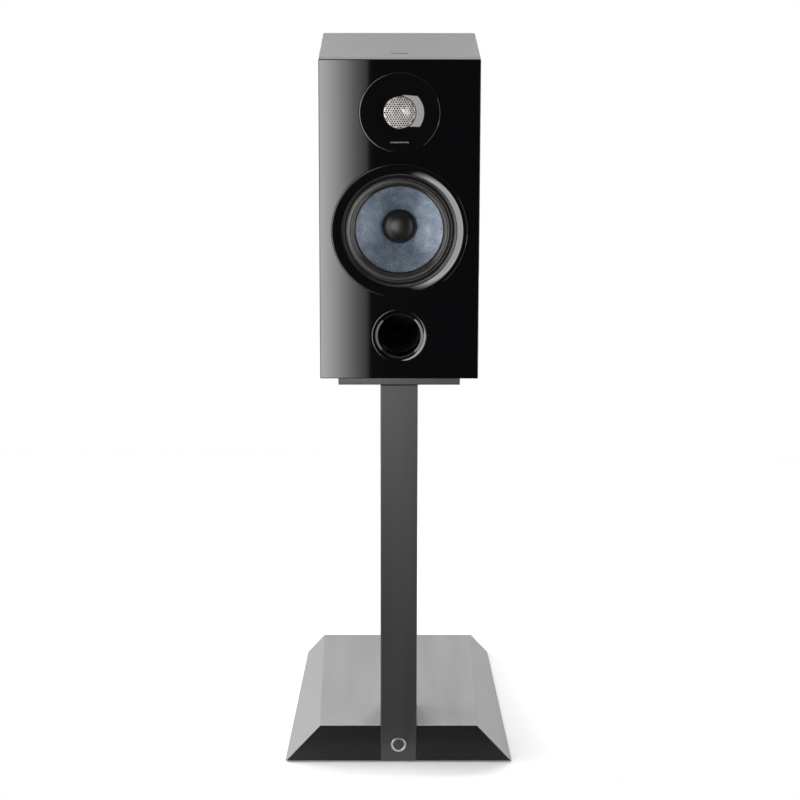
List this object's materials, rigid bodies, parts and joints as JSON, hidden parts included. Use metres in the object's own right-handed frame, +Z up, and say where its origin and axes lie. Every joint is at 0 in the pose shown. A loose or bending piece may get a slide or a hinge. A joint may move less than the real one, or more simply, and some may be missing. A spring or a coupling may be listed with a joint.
{
  "type": "bookshelf speaker on a floor stand",
  "caption": "Two-way bookshelf speaker with a round tweeter, a woofer and a front port, bolted to a matching floor stand with a slim column and a wedge foot.",
  "frame": {"origin": "centre of the bounding box's bottom, on the floor that the feet stand on", "axes": "+Z up, -Y out of the front panel, +X to the right of someone who faces the speaker"},
  "size_m": [0.3128, 0.4366, 0.975],
  "materials": {
    "black_vinyl": "textured black vinyl wrap",
    "black_gloss": "high gloss black lacquer",
    "raw_board": "raw MDF",
    "wadding": "fibre wadding",
    "trim_black": "gloss black",
    "soft_black": "soft satin black",
    "rubber": "smooth dark rubber",
    "slate_fibre": "pressed mottled fibre sandwich",
    "cast_alloy": "black painted cast alloy",
    "steel": "zinc plated",
    "ferrite": "sintered ferrite",
    "polyimide": "amber film with wound wire",
    "yellow_cloth": "resin-dipped cloth",
    "silver_mesh": "perforated satin steel",
    "dome_alloy": "thin satin alloy",
    "brass": "gold-tone plated",
    "red_plastic": "moulded red",
    "black_plastic": "moulded black",
    "circuit_board": "green solder mask",
    "copper": "enamelled copper wire",
    "film_yellow": "wrapped film",
    "white_ceramic": "cast cement",
    "stand_black": "satin metallic black",
    "stand_grey": "satin metallic grey lacquer on fibre board",
    "foot_rubber": "matt rubber pad"
  },
  "bodies": {
    "speaker": {"cabinet_shell": "black_vinyl", "front_baffle": "black_gloss", "back_panel": "black_vinyl", "cabinet_brace": "raw_board", "damping_wadding": "wadding", "woofer_trim_ring": "trim_black", "woofer_basket": "cast_alloy", "woofer_surround": "rubber", "woofer_spider": "yellow_cloth", "woofer_front_plate": "steel", "woofer_magnet": "ferrite", "woofer_back_plate": "steel", "tweeter_faceplate": "trim_black", "tweeter_grille": "silver_mesh", "tweeter_surround": "rubber", "tweeter_motor": "cast_alloy", "tweeter_housing": "black_plastic", "port_flare": "black_gloss", "port_tube": "black_plastic", "terminal_cup": "black_plastic", "crossover_board": "circuit_board", "crossover_coil_large": "copper", "crossover_coil_small": "copper", "crossover_capacitor_large": "film_yellow", "crossover_capacitor_small": "film_yellow", "crossover_resistor": "white_ceramic", "stand_top_plate": "stand_black", "stand_column": "stand_black", "stand_base": "stand_grey", "stand_tie_rod_front": "steel", "stand_tie_rod_rear": "steel", "woofer_screw_1": "steel", "terminal_screw_1": "steel", "stand_bolt_1": "steel", "stand_foot_1": "foot_rubber", "woofer_screw_2": "steel", "terminal_screw_2": "steel", "stand_bolt_2": "steel", "stand_foot_2": "foot_rubber", "woofer_screw_3": "steel", "terminal_screw_3": "steel", "stand_bolt_3": "steel", "stand_foot_3": "foot_rubber", "woofer_screw_4": "steel", "terminal_screw_4": "steel", "stand_bolt_4": "steel", "stand_foot_4": "foot_rubber", "terminal_post_red": "brass", "terminal_nut_red": "brass", "terminal_post_black": "brass", "terminal_nut_black": "brass"},
    "woofer_diaphragm": {"woofer_cone": "slate_fibre", "woofer_dust_cap": "soft_black", "woofer_voice_coil": "polyimide"},
    "tweeter_diaphragm": {"tweeter_dome": "dome_alloy", "tweeter_voice_coil": "copper"},
    "collar_red": {"terminal_collar_red": "brass"},
    "knob_red": {"terminal_knob_red": "red_plastic"},
    "collar_black": {"terminal_collar_black": "brass"},
    "knob_black": {"terminal_knob_black": "black_plastic"}
  },
  "joints": [
    {"name": "woofer_stroke", "type": "slide", "parent": "speaker", "child": "woofer_diaphragm", "axis": [0, -1, 0], "range_m": [-0.005, 0.005], "stiffness_N_per_m": 1300, "deforming": ["woofer_surround", "woofer_spider"]},
    {"name": "tweeter_stroke", "type": "slide", "parent": "speaker", "child": "tweeter_diaphragm", "axis": [0, -1, 0], "range_m": [-0.0003, 0.0003], "stiffness_N_per_m": 2000, "deforming": ["tweeter_surround"]},
    {"name": "collar_red_lift", "type": "slide", "parent": "speaker", "child": "collar_red", "axis": [0, 1, 0], "range_m": [0, 0.004]},
    {"name": "knob_red_turn", "type": "hinge", "parent": "collar_red", "child": "knob_red", "pos_m": [-0.018, 0.04525, 0.622], "axis": [0, 1, 0], "range_deg": [0, 1440]},
    {"name": "collar_black_lift", "type": "slide", "parent": "speaker", "child": "collar_black", "axis": [0, 1, 0], "range_m": [0, 0.004]},
    {"name": "knob_black_turn", "type": "hinge", "parent": "collar_black", "child": "knob_black", "pos_m": [0.018, 0.04525, 0.622], "axis": [0, 1, 0], "range_deg": [0, 1440]}
  ],
  "couplings": [
    {"joint": "knob_red_turn", "follows": "collar_red_lift", "rad_per_m": 6283.2},
    {"joint": "knob_black_turn", "follows": "collar_black_lift", "rad_per_m": 6283.2}
  ]
}
